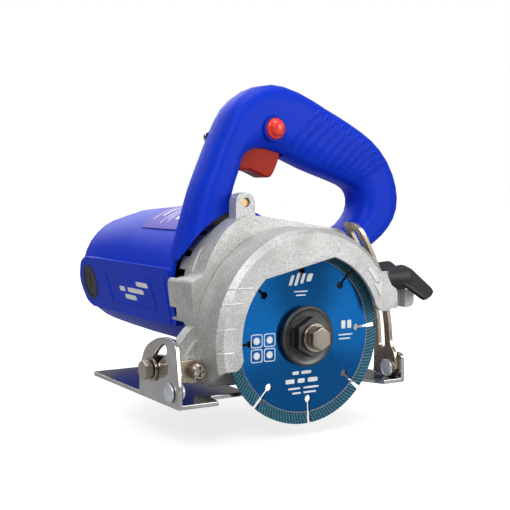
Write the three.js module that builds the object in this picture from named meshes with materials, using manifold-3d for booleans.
// Hand-held tile saw (a 105 mm marble cutter) as an assembly of separate pieces.
// Millimetres, +Z up. -X is the front (cutting direction), -Y the blade side, +Y the motor side.
// The exported frame stands on the middle of the base plate's sole. Inside it, every piece is
// placed in the machine frame, whose origin is the blade's centre on the blade's front face.
import * as THREE from 'three';
import { mergeVertices } from 'three/addons/utils/BufferGeometryUtils.js';
import Module from 'manifold-3d';

const wasm = await Module();
wasm.setup();

// ---- Driving dimensions --------------------------------------------------------------------
const GAP = 0.3;                       // clearance between touching pieces
const BLADE_RADIUS = 52.5;
const CORE_RADIUS = 45.6;
const BORE_RADIUS = 10;
const CORE_THICKNESS = 1.4;
const RIM_OVERHANG = 0.4;              // how far the diamond rim stands proud of each core face
const GULLETS = 8;
const GULLET_RADIUS = 38;
const GULLET_PHASE = THREE.MathUtils.degToRad(3.4);

const SOLE_Z = -34;                    // underside of the base plate
const SHEET = 2.5;                     // gauge of all pressed steel
const PLATE_TOP = SOLE_Z + SHEET;
const FRONT_X = -86;
const REAR_X = 71.8;
const NEAR_Y = -5;
const FAR_Y = 117;
const BEVEL_Y = 5;                     // bevel hinge line, along X
const BEVEL_Z = -26;

const PIVOT = { x: -68.5, z: -15.8 };  // depth hinge line, along Y
const ARM_RADIUS = 135;                // inner face of the curved depth arm, about PIVOT

const TEETH = { pinion: 12, gear: 36 };
const MODULE = 1.15;
const CENTRES = MODULE * (TEETH.pinion + TEETH.gear) / 2;
const MOTOR = { x: -18.5, z: Math.sqrt(CENTRES ** 2 - 18.5 ** 2) };
const MESH_ANGLE = Math.atan2(MOTOR.z, MOTOR.x);         // direction from spindle to armature
const SHELL = { x: -18.5, z: 30, r: 44.2, wall: 2.4 };   // round blue motor shell

const GUARD_RADIUS = 63.7;
const GUARD_FRONT = -9.5;
const GUARD_BACK = 17;
const CASE_FRONT = GUARD_BACK + GAP;
const CASE_MID = 32.5;
const CASE_REAR = 48;
const SHELL_FRONT = 50.3;
const SHELL_REAR = 212;
const BRUSH_Y = 180;
const GRIP = { near: 33, seam: 48, far: 63 };            // the handle's extent along Y
const CLAMP = { y: 11, z: 30 };                          // depth clamp bolt, along X

// ---- Materials -----------------------------------------------------------------------------
const finish = (color, roughness, metalness) =>
  new THREE.MeshStandardMaterial({ color, roughness, metalness });
const BLUE = finish(0x1531c9, 0.5, 0);
const RED = finish(0xff3c1e, 0.4, 0);
const DARK_RED = finish(0xb4331d, 0.45, 0);
const BLACK = finish(0x1c1c1e, 0.6, 0);
const CASTING = finish(0xb9bcba, 0.5, 0.7);
const CHROME = finish(0xd9dbe0, 0.12, 1);
const ZINC = finish(0xd8c9ad, 0.3, 0.9);
const STEEL = finish(0xa8a9aa, 0.35, 0.9);
const DARK_STEEL = finish(0x2b2b2d, 0.45, 0.8);
const BLADE_BLUE = finish(0x0a5fae, 0.3, 0.8);
const COPPER = finish(0xb8713a, 0.35, 1);
const CARBON = finish(0x252525, 0.7, 0.2);
const BRASS = finish(0xc9a24c, 0.35, 1);
const LABEL = finish(0x4e45b8, 0.4, 0);
const RUBBER = finish(0x151515, 0.85, 0);

// ---- Solids --------------------------------------------------------------------------------
function toSolid(geometry) {
  const bare = geometry.clone();
  bare.deleteAttribute('normal');
  bare.deleteAttribute('uv');
  const merged = mergeVertices(bare, 1e-4);
  const spots = merged.attributes.position.array;
  const corner = (i) => new THREE.Vector3().fromArray(spots, 3 * i);
  const kept = [];
  let volume = 0;
  for (let i = 0; i < merged.index.count; i += 3) {
    const [a, b, c] = [0, 1, 2].map((k) => merged.index.getX(i + k));
    if (a === b || b === c || c === a) continue;
    kept.push(a, b, c);
    volume += corner(a).dot(corner(b).cross(corner(c)));
  }
  if (volume < 0) kept.reverse();
  return new wasm.Manifold(new wasm.Mesh({
    numProp: 3, vertProperties: new Float32Array(spots), triVerts: new Uint32Array(kept),
  }));
}

function toGeometry(solid) {
  const { vertProperties, triVerts } = solid.getMesh();
  const geometry = new THREE.BufferGeometry();
  geometry.setAttribute('position', new THREE.BufferAttribute(vertProperties, 3));
  geometry.setIndex(new THREE.BufferAttribute(triVerts, 1));
  geometry.computeVertexNormals();
  return geometry;
}

const join = (...solids) => solids.reduce((a, b) => a.add(b));
const cut = (solid, ...tools) => tools.reduce((a, b) => a.subtract(b), solid);

// ---- Outlines and prisms -------------------------------------------------------------------
const point = (x, y) => new THREE.Vector2(x, y);

function outline(...corners) {
  // A closed outline through [x, y] corners; a third number rounds that corner, where it fits.
  const shape = new THREE.Shape();
  const spots = corners.map(([x, y]) => point(x, y));
  corners.forEach(([, , radius = 0], i) => {
    const here = spots[i];
    const before = spots[(i + spots.length - 1) % spots.length];
    const after = spots[(i + 1) % spots.length];
    const reach = Math.min(radius, 0.49 * Math.min(here.distanceTo(before), here.distanceTo(after)));
    const from = here.clone().add(before.clone().sub(here).setLength(reach));
    const to = here.clone().add(after.clone().sub(here).setLength(reach));
    if (i === 0) shape.moveTo(from.x, from.y);
    else shape.lineTo(from.x, from.y);
    if (radius > 0) shape.quadraticCurveTo(here.x, here.y, to.x, to.y);
  });
  shape.closePath();
  return shape;
}

const disc = (x, y, r) => new THREE.Shape().absarc(x, y, r, 0, 2 * Math.PI);

function ringSector(x, y, inner, outer, from, to) {
  const shape = new THREE.Shape();
  shape.absarc(x, y, outer, from, to, false);
  shape.absarc(x, y, inner, to, from, true);
  shape.closePath();
  return shape;
}

const AXES = {
  x: new THREE.Matrix4().makeBasis(...[[0, 1, 0], [0, 0, 1], [1, 0, 0]].map((v) => new THREE.Vector3(...v))),
  y: new THREE.Matrix4().makeBasis(...[[1, 0, 0], [0, 0, 1], [0, -1, 0]].map((v) => new THREE.Vector3(...v))),
  z: new THREE.Matrix4(),
};

function tidied(shape, steps) {
  // The outline as straight pieces, without the doubled points where two arcs meet.
  const spots = shape.extractPoints(steps).shape;
  return new THREE.Shape(spots.filter((p, i) =>
    p.distanceTo(spots[(i + spots.length - 1) % spots.length]) > 1e-3));
}

function prism(axis, shape, from, to, { steps = 12, round = 0, roundSteps = 2 } = {}) {
  // An outline drawn square to an axis (YZ, XZ or XY plane) and extruded along it.
  const [low, high] = axis === 'y' ? [-to, -from] : [from, to];
  const options = { depth: high - low - 2 * round, bevelEnabled: false };
  if (round > 0) {
    Object.assign(options, {
      bevelEnabled: true, bevelThickness: round, bevelSize: round,
      bevelOffset: -round, bevelSegments: roundSteps,
    });
  }
  const geometry = new THREE.ExtrudeGeometry(tidied(shape, steps), options);
  geometry.translate(0, 0, low + round);
  geometry.applyMatrix4(AXES[axis]);
  return toSolid(geometry);
}

function turned(axis, profile, at, steps = 32) {
  // A profile of [radius, along] points, closed on itself or on the axis, turned about an axis.
  const points = [...profile, profile[0]].map(([r, a]) => point(Math.max(r, 0), a));
  const geometry = new THREE.LatheGeometry(points, steps);
  if (axis === 'x') geometry.rotateZ(-Math.PI / 2);
  if (axis === 'z') geometry.rotateX(Math.PI / 2);
  geometry.translate(at.x ?? 0, at.y ?? 0, at.z ?? 0);
  return toSolid(geometry);
}

const rod = (axis, at, r, from, to, steps = 12) =>
  turned(axis, [[0, from], [r, from], [r, to], [0, to]], at, steps);
const collar = (axis, at, inner, outer, from, to, steps = 18) =>
  turned(axis, [[inner, from], [outer, from], [outer, to], [inner, to]], at, steps);

function block(x0, x1, y0, y1, z0, z1) {
  const geometry = new THREE.BoxGeometry(x1 - x0, y1 - y0, z1 - z0);
  geometry.translate((x0 + x1) / 2, (y0 + y1) / 2, (z0 + z1) / 2);
  return toSolid(geometry);
}

function hexagon(axis, at, acrossFlats, from, to) {
  return turned(axis, [[0, from], [acrossFlats / Math.sqrt(3), from],
    [acrossFlats / Math.sqrt(3), to], [0, to]], at, 6);
}

function loft(sections) {
  // Closed rings of equal point counts, each [[x, y, z], ...], skinned and capped at both ends.
  const count = sections[0].length;
  const spots = sections.flat(2);
  const faces = [];
  for (let s = 0; s + 1 < sections.length; s += 1) {
    for (let i = 0; i < count; i += 1) {
      const [a, b] = [s * count + i, s * count + (i + 1) % count];
      faces.push(a, b, b + count, a, b + count, a + count);
    }
  }
  for (const [s, flip] of [[0, true], [sections.length - 1, false]]) {
    const middle = spots.length / 3;
    const sums = sections[s].reduce((t, p) => t.map((v, k) => v + p[k]), [0, 0, 0]);
    spots.push(...sums.map((v) => v / count));
    for (let i = 0; i < count; i += 1) {
      const [a, b] = [s * count + i, s * count + (i + 1) % count];
      faces.push(...(flip ? [b, a, middle] : [a, b, middle]));
    }
  }
  const geometry = new THREE.BufferGeometry();
  geometry.setAttribute('position', new THREE.Float32BufferAttribute(spots, 3));
  geometry.setIndex(faces);
  return toSolid(geometry);
}

// ---- The assembly --------------------------------------------------------------------------
const saw = new THREE.Group();
const machine = new THREE.Group();
machine.position.set(-(FRONT_X + REAR_X) / 2, -(NEAR_Y + FAR_Y) / 2, -SOLE_Z);
saw.add(machine);

function add(name, solid, material) {
  const piece = new THREE.Mesh(toGeometry(solid), material);
  piece.name = name;
  machine.add(piece);
}

const along = (x, z) => ({ x, z });
const BLADE_AXIS = along(0, 0);
const BEVEL_AXIS = { y: BEVEL_Y, z: BEVEL_Z };

// ---- Base plate: one sheet pressed to a sole with two upturned quadrants ---------------------
const TILT_SLOT = { radius: 24, halfWidth: 3.4, from: Math.PI * 25 / 180, to: Math.PI * 71 / 180 };
const FRONT_SHEET = [FRONT_X, FRONT_X + SHEET];
const REAR_SHEET = [REAR_X - SHEET, REAR_X];

function curvedSlot(x, y, { radius, halfWidth, from, to }) {
  const shape = new THREE.Shape();
  shape.absarc(x, y, radius + halfWidth, from, to, false);
  shape.absarc(x + radius * Math.cos(to), y + radius * Math.sin(to), halfWidth, to, to + Math.PI, false);
  shape.absarc(x, y, radius - halfWidth, to, from, true);
  shape.absarc(x + radius * Math.cos(from), y + radius * Math.sin(from), halfWidth,
    from + Math.PI, from + 2 * Math.PI, false);
  shape.closePath();
  return shape;
}

function basePlate() {
  const sole = prism('z', outline([FRONT_X, NEAR_Y], [-61, NEAR_Y], [-59, 10, 2], [-34, 10], [-34, 41, 4],
    [34, 41, 4], [34, 10], [49, 10, 2], [55.5, NEAR_Y], [REAR_X, NEAR_Y], [REAR_X, FAR_Y, 8],
    [FRONT_X, FAR_Y, 3]), SOLE_Z, PLATE_TOP, { steps: 3 });
  const front = prism('x', outline([NEAR_Y, SOLE_Z], [NEAR_Y, -24, 3], [-1, 3.5, 6], [17, 4.5, 9],
    [38, -4, 9], [45, -18, 6], [46, SOLE_Z]), ...FRONT_SHEET, { steps: 4 });
  const rear = prism('x', outline([NEAR_Y, SOLE_Z], [NEAR_Y, -16, 4], [20, -16, 4], [24, SOLE_Z]),
    ...REAR_SHEET, { steps: 3 });
  return cut(join(sole, front, rear),
    prism('x', curvedSlot(BEVEL_Y, BEVEL_Z, TILT_SLOT), FRONT_X - 1, FRONT_X + SHEET + 1, { steps: 10 }),
    rod('x', BEVEL_AXIS, 2.8, FRONT_X - 1, FRONT_X + SHEET + 1, 16),
    rod('x', BEVEL_AXIS, 2.8, REAR_X - SHEET - 1, REAR_X + 1));
}
add('base_plate', basePlate(), CHROME);

function rivet(from, shankFrom, shankTo, to, domeR, tailR) {
  const sign = Math.sign(to - from);
  return turned('x', [[0, from], [domeR * 0.7, from + 0.3 * sign], [domeR, from + 1.2 * sign],
    [domeR, shankFrom], [2.5, shankFrom], [2.5, shankTo], [tailR, shankTo], [tailR, to], [0, to]],
  BEVEL_AXIS, 20);
}
const BRACKET_X = [FRONT_X + SHEET + GAP, FRONT_X + 2 * SHEET + GAP];
add('front_pivot_rivet',
  rivet(FRONT_X - 2.6, FRONT_X - GAP, BRACKET_X[1] + GAP, BRACKET_X[1] + 1.8, 5.6, 4.4), STEEL);

// ---- Bevel bracket, its clamp bolt and the depth pivot --------------------------------------
const TILT_BOLT = {
  y: BEVEL_Y + TILT_SLOT.radius * Math.cos(TILT_SLOT.from),
  z: BEVEL_Z + TILT_SLOT.radius * Math.sin(TILT_SLOT.from),
};
const EAR_Y = [9, 9 + SHEET];
const EAR_R = 6.3;

function bevelBracket() {
  const plate = join(
    prism('x', outline([BEVEL_Y, BEVEL_Z - 4.8], [14, -28.5], [33.5, -23, 5], [33.5, -8.5, 7], [9, -6.5, 3],
      [BEVEL_Y - 4.6, -14, 4], [BEVEL_Y - 4.8, BEVEL_Z]), ...BRACKET_X, { steps: 3 }),
    rod('x', BEVEL_AXIS, 4.8, ...BRACKET_X, 24));
  const ear = join(block(BRACKET_X[0], PIVOT.x, ...EAR_Y, PIVOT.z - EAR_R, PIVOT.z + EAR_R),
    rod('y', PIVOT, EAR_R, ...EAR_Y, 20));
  return cut(join(plate, ear),
    rod('x', BEVEL_AXIS, 2.8, BRACKET_X[0] - 1, BRACKET_X[1] + 1, 16),
    rod('x', TILT_BOLT, 3.3, BRACKET_X[0] - 1, BRACKET_X[1] + 1, 16),
    rod('y', PIVOT, 3.3, EAR_Y[0] - 1, EAR_Y[1] + 1));
}
add('bevel_bracket', bevelBracket(), ZINC);

const TILT_HEAD = [FRONT_X - 7, FRONT_X - 2];
add('bevel_clamp_bolt', join(hexagon('x', TILT_BOLT, 10, ...TILT_HEAD),
  rod('x', TILT_BOLT, 3, TILT_HEAD[1], BRACKET_X[1] + 5)), STEEL);
add('bevel_washer', collar('x', TILT_BOLT, 3.3, 7, FRONT_X - 1.7, FRONT_X - GAP, 24), STEEL);
add('bevel_nut', cut(hexagon('x', TILT_BOLT, 10, BRACKET_X[1] + GAP, BRACKET_X[1] + 4.2),
  rod('x', TILT_BOLT, 3.3, BRACKET_X[1], BRACKET_X[1] + 5)), STEEL);

const PIVOT_END = 27;
add('depth_pivot_screw', cut(join(
  turned('y', [[0, 3], [3.7, 3], [4.8, 4.4], [4.8, EAR_Y[0] - GAP], [0, EAR_Y[0] - GAP]], PIVOT, 24),
  rod('y', PIVOT, 3, EAR_Y[0] - GAP, PIVOT_END)),
block(PIVOT.x - 3.2, PIVOT.x + 3.2, 2, 4.8, PIVOT.z - 0.7, PIVOT.z + 0.7),
block(PIVOT.x - 0.7, PIVOT.x + 0.7, 2, 4.8, PIVOT.z - 3.2, PIVOT.z + 3.2)), STEEL);

// ---- Depth arm: a slotted strip rolled to an arc about the depth pivot -----------------------
const ARM_TOP = 66;
const ARM_Y = [3, 19];
const ARM_X = [PIVOT.x + ARM_RADIUS, PIVOT.x + ARM_RADIUS + SHEET];

function depthArm() {
  const sweep = Math.asin((ARM_TOP - PIVOT.z) / ARM_RADIUS);
  const strip = join(
    prism('y', ringSector(PIVOT.x, PIVOT.z, ARM_RADIUS, ARM_RADIUS + SHEET, 0, sweep), -6, 20, { steps: 12 }),
    block(...ARM_X, -6, 20, PLATE_TOP + GAP, PIVOT.z + 0.01));
  const face = prism('x', outline([BEVEL_Y, PLATE_TOP + GAP], [ARM_Y[1], PLATE_TOP + GAP, 3],
    [ARM_Y[1], ARM_TOP, 7.9], [ARM_Y[0], ARM_TOP, 7.9], [ARM_Y[0], -11, 4], [BEVEL_Y - 7, -17, 4],
    [BEVEL_Y - 7, BEVEL_Z], [BEVEL_Y - 5, BEVEL_Z - 2], [BEVEL_Y - 3.4, BEVEL_Z - 3.4]),
  30, 75, { steps: 4 });
  const slot = prism('x', outline([CLAMP.y - 3, -14, 3], [CLAMP.y + 3, -14, 3], [CLAMP.y + 3, 61.5, 3],
    [CLAMP.y - 3, 61.5, 3]), 30, 80, { steps: 3 });
  return cut(strip.intersect(face), slot, rod('x', BEVEL_AXIS, 2.8, 60, 75));
}
add('depth_arm', depthArm(), ZINC);
add('rear_pivot_rivet', rivet(ARM_X[0] - 2.6, ARM_X[0] - GAP, REAR_X + GAP, REAR_X + 1.8, 5.4, 4.4), STEEL);

// ---- Blade spindle ---------------------------------------------------------------------------
function blade() {
  const core = collar('y', BLADE_AXIS, BORE_RADIUS, CORE_RADIUS + 0.2, 0, CORE_THICKNESS, 40);
  const rim = collar('y', BLADE_AXIS, CORE_RADIUS, BLADE_RADIUS, -RIM_OVERHANG,
    CORE_THICKNESS + RIM_OVERHANG, 40);
  const gullets = Array.from({ length: GULLETS }, (_, k) => {
    const turn = new THREE.Matrix4().makeRotationY(-(GULLET_PHASE + 2 * Math.PI * k / GULLETS));
    const shape = outline([GULLET_RADIUS, -0.8], [CORE_RADIUS, -0.8], [CORE_RADIUS, -1.4],
      [BLADE_RADIUS + 1, -1.4], [BLADE_RADIUS + 1, 1.4], [CORE_RADIUS, 1.4], [CORE_RADIUS, 0.8],
      [GULLET_RADIUS, 0.8]);
    const tool = join(prism('y', shape, -2, 3), rod('y', along(GULLET_RADIUS, 0), 2.3, -2, 3, 8));
    return toSolid(toGeometry(tool).applyMatrix4(turn));
  });
  return cut(join(core, rim), ...gullets);
}
add('blade', blade(), BLADE_BLUE);

const SPINDLE_R = 6;
const WASHER_Y = [-11.7, -10];
add('outer_flange', cut(join(
  turned('y', [[0, -GAP], [18, -GAP], [18, -3.6], [16.6, -4.4], [14.5, -3.4], [0, -3.4]], BLADE_AXIS, 40),
  hexagon('y', BLADE_AXIS, 21, WASHER_Y[1] + GAP, -3)),
rod('y', BLADE_AXIS, SPINDLE_R + GAP, -11, 1)), DARK_STEEL);
add('blade_washer', collar('y', BLADE_AXIS, 4.3, 8.3, ...WASHER_Y, 32), STEEL);
add('blade_bolt', join(hexagon('y', BLADE_AXIS, 12, -17.5, WASHER_Y[0] - GAP),
  rod('y', BLADE_AXIS, 4, WASHER_Y[0] - GAP, 10)), STEEL);
add('inner_flange', join(collar('y', BLADE_AXIS, SPINDLE_R + GAP, 18, CORE_THICKNESS + RIM_OVERHANG, 6.5),
  collar('y', BLADE_AXIS, SPINDLE_R + GAP, BORE_RADIUS - GAP, 0.2, 3)), DARK_STEEL);

const GEAR_Y = [23.5, 31.5];
const SPINDLE_END = 42.5;
add('spindle', cut(join(rod('y', BLADE_AXIS, SPINDLE_R, -8, 32.6), rod('y', BLADE_AXIS, 4, 32, SPINDLE_END)),
  rod('y', BLADE_AXIS, 4.3, -9, 14)), STEEL);
add('spindle_bearing', collar('y', BLADE_AXIS, SPINDLE_R + GAP, 14, 12, 20, 32), STEEL);
add('spindle_bush', collar('y', BLADE_AXIS, 4.3, 7, 34, 43, 24), BRASS);

function gear(at, teeth, bore) {
  // Trapezoid teeth between root and tip circles of a spur gear.
  const pitch = MODULE * teeth / 2;
  const shape = new THREE.Shape();
  const step = 2 * Math.PI / teeth;
  for (let k = 0; k < teeth; k += 1) {
    for (const [r, turn] of [[pitch - 1.2 * MODULE, -0.31], [pitch + 0.85 * MODULE, -0.1],
      [pitch + 0.85 * MODULE, 0.1], [pitch - 1.2 * MODULE, 0.31]]) {
      const angle = (k + turn) * step + (teeth === TEETH.pinion ? step / 2 : 0) + MESH_ANGLE;
      const spot = [at.x + r * Math.cos(angle), at.z + r * Math.sin(angle)];
      if (k === 0 && turn === -0.31) shape.moveTo(...spot);
      else shape.lineTo(...spot);
    }
  }
  shape.closePath();
  return cut(prism('y', shape, ...GEAR_Y), rod('y', at, bore, GEAR_Y[0] - 1, GEAR_Y[1] + 1));
}
add('spindle_gear', gear(BLADE_AXIS, TEETH.gear, SPINDLE_R + GAP), STEEL);

// ---- Armature --------------------------------------------------------------------------------
const SHAFT_R = 5;
const STACK_Y = [68, 128];
const COMMUTATOR = { r: 12, y: [BRUSH_Y - 9, BRUSH_Y + 8] };
add('armature_pinion', gear(MOTOR, TEETH.pinion, 3.8), STEEL);
add('armature_shaft', turned('y', [[0, 21.5], [3.5, 21.5], [3.5, 36], [SHAFT_R, 36], [SHAFT_R, 193],
  [4, 193], [4, 204], [0, 204]], MOTOR, 20), STEEL);
add('armature_core', collar('y', MOTOR, SHAFT_R + GAP, 19.5, ...STACK_Y, 36), DARK_STEEL);
add('armature_windings', turned('y', [[SHAFT_R + GAP, STACK_Y[1] + GAP], [16.5, STACK_Y[1] + GAP],
  [17.5, 136], [13, 145], [SHAFT_R + GAP, 147]], MOTOR, 28), COPPER);
add('commutator', collar('y', MOTOR, SHAFT_R + GAP, COMMUTATOR.r, ...COMMUTATOR.y, 28), COPPER);
add('front_motor_bearing', collar('y', MOTOR, SHAFT_R + GAP, 13, 38, 46), STEEL);
add('rear_motor_bearing', collar('y', MOTOR, 4.3, 11, 196, 203, 28), STEEL);

function fan() {
  const plate = collar('y', MOTOR, SHAFT_R + GAP, 29, 48.5, 50, 36);
  const hub = collar('y', MOTOR, SHAFT_R + GAP, 9, 48.5, 58, 20);
  const vanes = Array.from({ length: 10 }, (_, k) => {
    const vane = new THREE.BoxGeometry(20.5, 8.2, 1.3);
    vane.translate(18.5, 53.9, 0);
    vane.rotateY(2 * Math.PI * k / 10);
    vane.translate(MOTOR.x, 0, MOTOR.z);
    return toSolid(vane);
  });
  return join(plate, hub, ...vanes);
}
add('cooling_fan', fan(), BLACK);

// ---- Stator, brushes and their holders -------------------------------------------------------
function stator() {
  const ring = collar('y', MOTOR, 20.5, 31.5, ...STACK_Y, 40);
  const pocket = (from) => prism('y', ringSector(MOTOR.x, MOTOR.z, 15, 27.5, from, from + Math.PI * 0.42),
    STACK_Y[0] - 1, STACK_Y[1] + 1, { steps: 10 });
  return cut(ring, pocket(Math.PI * 0.29), pocket(Math.PI * 1.29));
}
add('stator_core', stator(), DARK_STEEL);
for (const [name, middle] of [['upper_field_coil', 0.5], ['lower_field_coil', 1.5]]) {
  const reach = 0.19;
  add(name, prism('y', ringSector(MOTOR.x, MOTOR.z, 21, 27.1, Math.PI * (middle - reach),
    Math.PI * (middle + reach)), STACK_Y[0] - 4, STACK_Y[1] + 8, { steps: 4 }), COPPER);
}

const CAP_TILT = THREE.MathUtils.degToRad(10);           // the brush pads lean with the shell
const CAP_X = SHELL.x - 43.2;                            // middle of the cap's outer face
const mirrored = (geometry) => geometry.clone().applyMatrix4(
  new THREE.Matrix4().makeScale(-1, 1, 1).setPosition(2 * SHELL.x, 0, 0));
const otherSide = (solid) => toSolid(mirrored(toGeometry(solid)));

function leaned(solid, angle) {
  const geometry = toGeometry(solid);
  geometry.translate(-CAP_X, 0, -MOTOR.z).rotateY(angle).translate(CAP_X, 0, MOTOR.z);
  return toSolid(geometry);
}
const CAP_AT = { y: BRUSH_Y, z: MOTOR.z };
const brushCap = cut(leaned(turned('x', [[0, CAP_X + 0.4], [9.6, CAP_X + 0.4], [9.9, CAP_X],
  [11.4, CAP_X - 0.5],
  [12.2, CAP_X], [12.2, CAP_X + 3.2], [0, CAP_X + 3.2]], CAP_AT, 32), -CAP_TILT),
block(CAP_X - 3, CAP_X + 1.4, BRUSH_Y - 0.7, BRUSH_Y + 0.7, MOTOR.z - 6, MOTOR.z + 6));
const holderX = [CAP_X + 6.5, SHELL.x - COMMUTATOR.r - 2];
const brushHolder = cut(block(...holderX, BRUSH_Y - 5, BRUSH_Y + 5, MOTOR.z - 5, MOTOR.z + 5),
  block(holderX[0] - 1, holderX[1] + 1, BRUSH_Y - 3.8, BRUSH_Y + 3.8, MOTOR.z - 3.8, MOTOR.z + 3.8));
const brush = block(holderX[0] + 8, SHELL.x - COMMUTATOR.r - GAP, BRUSH_Y - 3.5, BRUSH_Y + 3.5,
  MOTOR.z - 3.5, MOTOR.z + 3.5);
for (const [side, place] of [['front', (s) => s], ['rear', otherSide]]) {
  add(`${side}_brush_cap`, place(brushCap), BLACK);
  add(`${side}_brush_holder`, place(brushHolder), BRASS);
  add(`${side}_carbon_brush`, place(brush), CARBON);
}

// ---- Motor shell -----------------------------------------------------------------------------
function shellSolid(inset, from, to) {
  // Round sections that sink and narrow towards the rear end.
  const path = [[from, 30, 44.2], [130, 30, 44.2], [165, 29.3, 42.9], [187, 27.9, 41], [204, 26.8, 39.3],
    [210, 26.4, 36.8], [to, 26.3, 31]];
  const count = 32;
  return loft(path.map(([y, z, r]) => Array.from({ length: count }, (_, i) => {
    const angle = 2 * Math.PI * i / count;
    return [SHELL.x + (r - inset) * Math.cos(angle), y, z - (r - inset) * Math.sin(angle)];
  })));
}

function motorShell() {
  const padOutline = outline([SHELL_FRONT, 3, 5], [182, 3, 0], [192, 6, 4], [199, 17, 6], [199, 24, 6],
    [192, 35, 4], [182, 38.6, 0], [SHELL_FRONT, 38.6, 4]);
  const lean = Math.tan(CAP_TILT);
  const padFace = prism('y', outline([CAP_X - lean * 20, MOTOR.z + 20], [CAP_X + lean * 22, MOTOR.z - 22],
    [CAP_X + 22, MOTOR.z - 22], [CAP_X + 22, MOTOR.z + 20]), SHELL_FRONT, 202);
  const pad = prism('x', padOutline, CAP_X - 8, CAP_X + 22, { steps: 3 }).intersect(padFace);
  const capSeat = leaned(rod('x', CAP_AT, 12.5, CAP_X - 4, CAP_X + 3.5, 32), -CAP_TILT);
  const holderWell = block(CAP_X + 3, SHELL.x - 20, BRUSH_Y - 5.3, BRUSH_Y + 5.3,
    MOTOR.z - 5.3, MOTOR.z + 5.3);
  const body = join(shellSolid(0, SHELL_FRONT, SHELL_REAR), pad, otherSide(pad));
  const bearingSeat = collar('y', MOTOR, 11.3, 14.5, 194, SHELL_REAR - 1);
  const slots = [-24, -16, -8, 8, 16, 24].map((x) =>
    block(SHELL.x + x - 1.6, SHELL.x + x + 1.6, SHELL_REAR - 7, SHELL_REAR + 2, 12, 42));
  const hollow = shellSolid(SHELL.wall, SHELL_FRONT - 0.01, SHELL_REAR - 2.5);
  return cut(join(cut(body, hollow), bearingSeat), capSeat, otherSide(capSeat), holderWell,
    otherSide(holderWell), ...slots);
}
add('motor_shell', motorShell(), BLUE);
add('fan_baffle', cut(prism('y', disc(SHELL.x, SHELL.z, SHELL.r - SHELL.wall - GAP), 60, 61.6, { steps: 10 }),
  rod('y', MOTOR, 25, 59, 63)), BLACK);
add('rating_label', prism('y', ringSector(SHELL.x, SHELL.z, SHELL.r + GAP, SHELL.r + GAP + 0.4,
  Math.PI * 0.5, Math.PI * 0.755), 68, 118, { steps: 12 }), LABEL);

// ---- Blade guard: front lip, outer wall and back plate in one casting ------------------------
const TAIL = { x: 53, z: 21, r: 9 };
const WALL_END = THREE.MathUtils.degToRad(194);
const WALL_LOW = THREE.MathUtils.degToRad(206);
const OPENING = 48.5;
const CHAMFER = 3.2;
const BOLT_RING = [[-44, 30], [-12, 51], [36, 34], [-44, -12]];

function guardLip() {
  const shape = new THREE.Shape();
  const [left, bottom] = [GUARD_RADIUS * Math.cos(WALL_END), GUARD_RADIUS * Math.sin(WALL_END)];
  shape.moveTo(left, bottom);
  shape.absarc(0, 0, GUARD_RADIUS, WALL_END, 0.45, true);
  shape.absarc(TAIL.x, TAIL.z, TAIL.r, 0.5, -2.6, true);
  shape.absarc(0, 0, OPENING, 0.42, 1.265, false);
  shape.lineTo(-32.3, 35.6);
  shape.absarc(0, 0, OPENING, 2.31, 3.33, false);
  shape.quadraticCurveTo(-49, bottom, -55, bottom);
  shape.closePath();
  return prism('y', shape, GUARD_FRONT, GUARD_FRONT + 2.5, { steps: 20 });
}

function bladeGuard() {
  const wall = prism('y', ringSector(0, 0, GUARD_RADIUS - 2.6, GUARD_RADIUS, 0.26, WALL_LOW),
    GUARD_FRONT, GUARD_BACK, { steps: 24 });
  const slantedFoot = prism('x',
    outline([-12, -13.9], [GUARD_BACK + 1, -28.4], [GUARD_BACK + 1, -40], [-12, -40]),
    -70, -40);
  const backShape = new THREE.Shape();
  backShape.absarc(0, 0, GUARD_RADIUS, 0.2, WALL_LOW, false);
  for (const [x, z] of [[-48, -27.5], [-22, -25.5], [20, -24.5], [38, -14], [52, -2]]) backShape.lineTo(x, z);
  backShape.closePath();
  const back = prism('y', backShape, GUARD_BACK - 2.7, GUARD_BACK, { steps: 24 });
  const bearingBoss = rod('y', BLADE_AXIS, 17, 9, GUARD_BACK, 24);
  const clampBoss = cut(block(46, 62, 4, GUARD_BACK, 22, 38),
    rod('y', BLADE_AXIS, GUARD_RADIUS - 3, 0, 20, 48))
    .intersect(rod('y', PIVOT, ARM_RADIUS - 0.4, 0, 20, 90));
  // A wide chamfer on the front corner, from the left limb up over the top.
  const chamfer = cut(turned('y', [[GUARD_RADIUS - CHAMFER - 0.2, GUARD_FRONT - 0.2],
    [GUARD_RADIUS + 1, GUARD_FRONT - 0.2], [GUARD_RADIUS + 1, GUARD_FRONT + CHAMFER + 1]], BLADE_AXIS, 72),
    block(0, 80, -20, 10, -80, 36));
  const body = cut(join(guardLip(), wall, back, bearingBoss, clampBoss), slantedFoot, chamfer);
  return cut(body,
    rod('y', BLADE_AXIS, 14.3, 11.7, GUARD_BACK + 1, 24), rod('y', BLADE_AXIS, 9, 8, 12),
    rod('x', CLAMP, 3.2, 40, 66, 16), rod('x', CLAMP, 6.2, 40, 54, 20),
    ...BOLT_RING.map(([x, z]) => rod('y', along(x, z), 2.4, 10, GUARD_BACK + 1, 12)));
}
add('blade_guard', bladeGuard(), CASTING);
BOLT_RING.forEach(([x, z], i) => {
  add(`guard_screw_${i + 1}`, join(rod('y', along(x, z), 4, 10.6, GUARD_BACK - 3, 16),
    rod('y', along(x, z), 2, GUARD_BACK - 3, 29, 12)), STEEL);
});

// ---- Gear housing ----------------------------------------------------------------------------
const CASTLE = { x: -18.5, z: 27, r: 41.5, wall: 3 };
const TAB = { x: -27.2, z: 78.2, span: [22, 30.3] };

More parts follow.
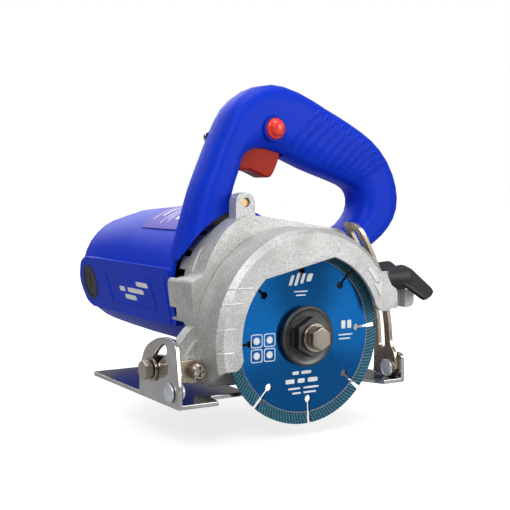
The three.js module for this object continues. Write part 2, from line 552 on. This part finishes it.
function gearHousing() {
  const front = prism('y', outline([-57, -27.5, 3], [-57, -2], [-64, 9, 3], [-66.5, 33.5, 4], [-58, 37, 3],
    [-54, 48, 10], [-44, 63, 10], [-31, 70.8, 6], [-18, 70.2], [41.5, 60.9, 6],
    [53.5, 39.5, 20], [58.5, 14, 16],
    [46, -6, 10], [24, -23, 12], [4, -25], [-20, -25]), CASE_FRONT, CASE_MID, { steps: 3 });
  const leg = prism('y', outline([-56, 6], [-66, 8, 3], [-77, -4.5, 3], [-75, -10, 2], [-56, -14]),
    CASE_FRONT, 25, { steps: 3 });
  const pivotBoss = cut(rod('y', PIVOT, 7.6, EAR_Y[1] + GAP, 23, 20),
    rod('y', BLADE_AXIS, GUARD_RADIUS + 0.6, 10, CASE_FRONT, 48));
  const pivotWeb = block(PIVOT.x, -56, CASE_FRONT, 23, PIVOT.z - 7, PIVOT.z + 6);
  const castle = rod('y', along(CASTLE.x, CASTLE.z), CASTLE.r, CASE_MID - 1, CASE_REAR, 32);
  const ear = prism('y', outline([-50, 8], [-63.5, 8, 3], [-66.5, 33.5, 4], [-50, 37]),
    CASE_MID - 1, CASE_REAR,
    { steps: 3 });
  const fanRoom = rod('y', along(CASTLE.x, CASTLE.z), CASTLE.r - CASTLE.wall,
    CASE_MID + 3.5, CASE_REAR + 1, 36);
  const earRoom = block(-63, -50, CASE_MID + 3.5, CASE_REAR + 1, 13, 31);
  const lugRoot = prism('y', outline([44, 4], [64, 10.5, 4], [90, 10.5, 4], [90, 22.5, 4], [44, 22.5]),
    21.5, CASE_MID,
    { steps: 3 });
  const lug = cut(
    prism('y', outline([60, 10.8], [90, 10.8, 4], [90, 22.5, 4], [60, 22.5]), 8, 25, { steps: 3 }),
    block(77, 83, 7, 14, 5, 30), rod('x', CLAMP, 9, 60, 92, 20),
    rod('y', PIVOT, ARM_RADIUS + SHEET + 0.9, 5, 21.5, 90));
  const tab = join(
    prism('y', outline([-34, 62], [-34, 84, 6.3], [-21.3, 84, 6.3], [-20.6, 66, 2], [-17, 58], [-24, 55]),
      ...TAB.span,
      { steps: 3 }));
  const bushBoss = rod('y', BLADE_AXIS, 10.5, CASE_MID, 45, 24);
  const bearingBoss = rod('y', MOTOR, 16.3, CASE_MID, 46.4, 32);
  const shell = cut(join(front, leg, pivotBoss, pivotWeb, castle, ear, lugRoot, lug, tab), fanRoom, earRoom);
  const gearRoom = join(rod('y', BLADE_AXIS, 22.6, CASE_FRONT - 1, CASE_MID, 28),
    rod('y', MOTOR, 9.2, CASE_FRONT - 1, CASE_MID, 24),
    rod('y', along(MOTOR.x / 2, MOTOR.z / 2), 16, CASE_FRONT - 1, CASE_MID, 24));
  const vents = [[-62, 36.5, 6], [-64, 13, 7], [-33.2, 67.4, 4.5], [-44.4, 61.3, 4.5],
    [-55.4, 49.1, 4.5], [-20, 66, 8], [8, 62, 8], [20, -8, 8], [-50, -6, 8], [22, 30, 9]]
    .map(([x, z, width]) => {
      const slot = new THREE.BoxGeometry(22, 9, width);
      slot.rotateY(-Math.atan2(z - CASTLE.z, x - CASTLE.x));
      slot.translate(x, CASE_REAR - 3.5, z);
      return toSolid(slot);
    });
  return cut(join(shell, bushBoss, bearingBoss), gearRoom,
    rod('y', BLADE_AXIS, 7.3, CASE_MID - 1, 43.3, 24), rod('y', MOTOR, 6.2, CASE_MID - 1, 40, 20),
    rod('y', MOTOR, 13.3, 37.7, 47, 32), rod('y', PIVOT, 3.3, EAR_Y[1], PIVOT_END + 1, 16),
    rod('y', TAB, 1.9, TAB.span[0] - 1, TAB.span[1] + 1, 16),
    rod('y', TAB, 2.8, TAB.span[0] - 1, TAB.span[0] + 4, 16),
    ...BOLT_RING.map(([x, z]) => rod('y', along(x, z), 2.3, CASE_FRONT - 1, 29.6, 12)), ...vents);
}
add('gear_housing', gearHousing(), CASTING);
add('handle_front_screw', join(rod('y', TAB, 2.5, TAB.span[0] + 1.6, TAB.span[0] + 3.7, 16),
  rod('y', TAB, 1.6, TAB.span[0] + 3.7, 41, 12)), STEEL);

// ---- Handle: a C of two half shells, split parallel to the blade -----------------------------
// Stations along the handle, each the outer and the inner edge of its section, in (x, z).
const STATIONS = [
  [-61, 44, -45, 34], [-57.5, 58, -36, 50], [-53.5, 72, -28.5, 63], [-49, 86, -27.4, 78],
  [-44, 98, -25.5, 87], [-38.5, 110.5, -22.9, 94], [-33, 122.5, -21, 101], [-25.5, 136, -17, 107],
  [-13, 146.3, -9, 110.3], [4, 150.8, 2, 108.7], [22, 147.6, 14, 105.2], [42, 138.7, 30, 98.8],
  [62, 129.3, 46, 93.6], [80, 118.8, 57.5, 89.8], [93, 105.5, 66.3, 86], [100.5, 89, 70.2, 79],
  [101.3, 73, 68.5, 71], [94.5, 60.3, 61, 63], [82, 50, 50, 58], [66, 44, 38, 57],
  [46, 41, 24, 58], [27, 40, 12, 58],
];

function smoothed(stations) {
  // Adds one station between each pair, on the smooth curve through them and their neighbours.
  return stations.flatMap((here, i) => {
    if (i + 1 === stations.length) return [here];
    const before = stations[Math.max(i - 1, 0)];
    const next = stations[i + 1];
    const after = stations[Math.min(i + 2, stations.length - 1)];
    return [here, here.map((v, k) => (9 * (v + next[k]) - before[k] - after[k]) / 16)];
  });
}

function handleSolid(inset, first, last, count = 16, path = STATIONS) {
  // Squarish oval sections, each spanning from its outer edge to its inner edge.
  const depth = (GRIP.far - GRIP.near) / 2 - inset;
  const squash = (v) => Math.sign(v) * Math.abs(v) ** 0.66;
  return loft(path.slice(first, last).map(([ox, oz, ix, iz]) => {
    const across = point(ox - ix, oz - iz);
    const half = across.length() / 2 - inset;
    across.normalize();
    return Array.from({ length: count }, (_, i) => {
      const angle = 2 * Math.PI * (i + 0.5) / count;
      const reach = half * squash(Math.cos(angle));
      return [(ox + ix) / 2 + reach * across.x, GRIP.seam + depth * squash(Math.sin(angle)),
        (oz + iz) / 2 + reach * across.y];
    });
  }));
}

const TRIGGER_Y = [GRIP.seam - 7, GRIP.seam + 7];
const BUTTON = { x: -0.6, z: 122.8 };
const GRIP_SCREWS = [[-43, 78], [-31, 118], [38, 122], [88, 80]];

function handleHalves() {
  const saddle = rod('y', along(SHELL.x, SHELL.z), SHELL.r + 0.5, GRIP.near - 2, GRIP.far + 2, 48);
  const screwBores = GRIP_SCREWS.flatMap(([x, z]) => [
    rod('y', along(x, z), 1.9, GRIP.near + 6, GRIP.far + 1, 12),
    rod('y', along(x, z), 4, GRIP.far - 4.5, GRIP.far + 1)]);
  const posts = join(...GRIP_SCREWS.map(([x, z]) => rod('y', along(x, z), 4.8, GRIP.near + 1, GRIP.far - 1)));
  const skin = handleSolid(0, 0, 2 * STATIONS.length, 20, smoothed(STATIONS));
  const walls = cut(skin, handleSolid(2.8, 3, 18, 12));
  const body = cut(join(walls, posts.intersect(handleSolid(1, 0, STATIONS.length))), saddle, ...screwBores,
    block(-23.6, 11, TRIGGER_Y[0] - 0.6, TRIGGER_Y[1] + 0.6, 86, 119),
    rod('y', BUTTON, 8.1, GRIP.near - 2, GRIP.near + 3.6, 28),
    rod('y', BUTTON, 6.9, GRIP.near + 3, GRIP.near + 7.5, 28),
    rod('y', TAB, 2.4, GRIP.near - 3, GRIP.near + 9, 12),
    rod('y', INLET, 7.4, GRIP.far - 5, GRIP.far + 1, 24));
  const half = (from, to) => body.intersect(block(-90, 130, from, to, 20, 170));
  return [half(GRIP.near - 1, GRIP.seam - GAP / 2), half(GRIP.seam + GAP / 2, GRIP.far + 1)];
}
const INLET = along(84, 67);
const [nearHalf, farHalf] = handleHalves();
add('handle_near_half', nearHalf, BLUE);
add('handle_far_half', farHalf, BLUE);
GRIP_SCREWS.forEach(([x, z], i) => {
  add(`handle_screw_${i + 1}`, join(rod('y', along(x, z), 3.6, GRIP.far - 4.2, GRIP.far - 1.9, 16),
    rod('y', along(x, z), 1.6, GRIP.near + 8, GRIP.far - 4.2, 12)), STEEL);
});
add('cord_inlet', collar('y', INLET, 3.6, 7.1, GRIP.far - 4.7, GRIP.far + 1.2, 24), RUBBER);

const TRIGGER_PIVOT = along(-17.5, 114.5);
add('trigger', cut(prism('y', outline([-21.5, 97, 2], [-13.5, 98, 3], [-6, 95, 3], [-2, 93.1, 2],
  [2.4, 93.4, 2], [5.2, 97.5, 3], [8.8, 106, 3], [9.6, 113.5, 2], [-21.5, 117.5, 3]), ...TRIGGER_Y,
  { steps: 3, round: 1.2, roundSteps: 1 }), rod('y', TRIGGER_PIVOT, 1.9, 30, 70, 12)), DARK_RED);
add('trigger_pin', rod('y', TRIGGER_PIVOT, 1.6, TRIGGER_Y[0] - 2, TRIGGER_Y[1] + 2, 10), STEEL);
add('lock_button', join(
  turned('y', [[0, 26.2], [2.6, 26.4], [4, 27.1], [4.8, 28.6], [5.2, 29.6], [6.2, 30.1], [6.4, 30.8],
    [6.4, 33.2], [5.2, 33.2], [5.2, 36], [0, 36]], BUTTON, 28),
  rod('y', BUTTON, 2, 35, 38.6, 12)), RED);
add('button_bezel', collar('y', BUTTON, 6.7, 7.8, GRIP.near - 1.6, GRIP.near + 2.8, 28), BLUE);
add('switch_body', block(-9, 17, 42.5, 57, 120, 135.5), BLACK);

// ---- Depth clamp: bolt, curved shoe and wing lever -------------------------------------------
const SHOE_OUT = 66.3;
add('depth_clamp_bolt', join(rod('x', CLAMP, 5.5, 49.6, 53.7, 20), rod('x', CLAMP, 2.7, 53.7, 80)), STEEL);
add('clamp_shoe', cut(block(58, SHOE_OUT, 4.5, 17.5, 25, 35), rod('x', CLAMP, 3, 50, 70, 16),
  rod('y', PIVOT, ARM_RADIUS + SHEET + 0.4, 0, 20, 90)), STEEL);

function wingLever() {
  const hub = turned('x',
    [[0, SHOE_OUT + GAP], [5.6, SHOE_OUT + GAP], [6.2, 72], [8, 82], [7.4, 84.5], [0, 85]],
    CLAMP, 24);
  const wing = (shape) => {
    // Drawn in the (x, distance from the bolt) plane, then swung round the bolt's axis.
    const geometry = toGeometry(prism('z', shape, -1.7, 1.7, { steps: 2, round: 0.7, roundSteps: 1 }));
    geometry.rotateX(WING_ANGLE).translate(0, CLAMP.y, CLAMP.z);
    return toSolid(geometry);
  };
  const long = wing(outline([76, 5], [76, -5], [82.5, -8, 3], [93.5, -9, 4], [98, 17, 4],
    [85.5, 23, 3.5], [79.8, 9, 3]));
  const short = wing(outline([68, -4], [68, -14, 2], [82, -15.5, 3], [85, -4]));
  return cut(join(hub, long, short), rod('x', CLAMP, 3, SHOE_OUT, 80.4));
}
const WING_ANGLE = THREE.MathUtils.degToRad(180 + 35.6);
add('clamp_lever', wingLever(), BLACK);

export default saw;
